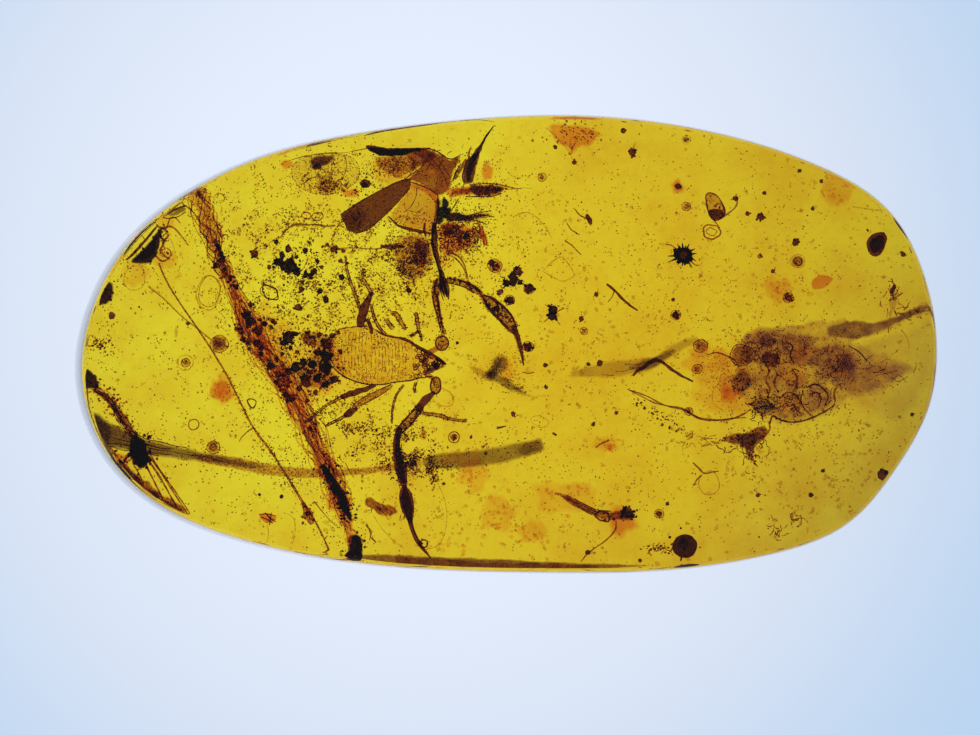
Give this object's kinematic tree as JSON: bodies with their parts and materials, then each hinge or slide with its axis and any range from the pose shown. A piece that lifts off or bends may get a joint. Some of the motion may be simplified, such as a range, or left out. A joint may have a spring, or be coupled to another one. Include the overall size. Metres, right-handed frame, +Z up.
{
  "type": "pseudoscorpion in amber",
  "caption": "Polished oval of clear yellow amber, flat underneath, with a long-armed pseudoscorpion, plant scraps and dark grains sealed in it.",
  "frame": {"origin": "middle of the flat base, which is the middle of the bounding box's bottom face", "axes": "+X along the longest extent, towards the blunt end; +Y across; +Z up out of the flat base, the shortest extent"},
  "size_m": [0.0179, 0.0096, 0.004],
  "materials": {
    "amber": "polished",
    "chitin": "satin",
    "plant_brown": "matte",
    "black_grain": "matte",
    "pale_tissue": "matte"
  },
  "bodies": {
    "root": {"amber_lower": "amber", "amber_upper": "amber", "pseudoscorpion": "chitin", "bark_sheet": "plant_brown", "dark_stem": "plant_brown", "debris_mass": "plant_brown", "deep_chip": "plant_brown", "fibrous_strand": "plant_brown", "leaf_blade": "plant_brown", "leaf_flap": "plant_brown", "leaf_wedge": "plant_brown", "moss_clump": "plant_brown", "pale_stem": "plant_brown", "red_chip": "plant_brown", "rim_stem": "plant_brown", "rootlet": "plant_brown", "seed_shell": "plant_brown", "short_rootlet": "plant_brown", "stalk": "plant_brown", "ant_grain": "black_grain", "black_ball": "black_grain", "black_bean": "black_grain", "dark_bar": "black_grain", "dark_blade": "black_grain", "dark_chip": "black_grain", "dark_oval": "black_grain", "debris_lump": "black_grain", "edge_bark": "black_grain", "end_flake_1": "black_grain", "end_flake_2": "black_grain", "end_flake_3": "black_grain", "end_flake_4": "black_grain", "grain_clump": "black_grain", "grain_group": "black_grain", "spiky_grain": "black_grain", "membrane_sac": "pale_tissue"}
  },
  "joints": []
}
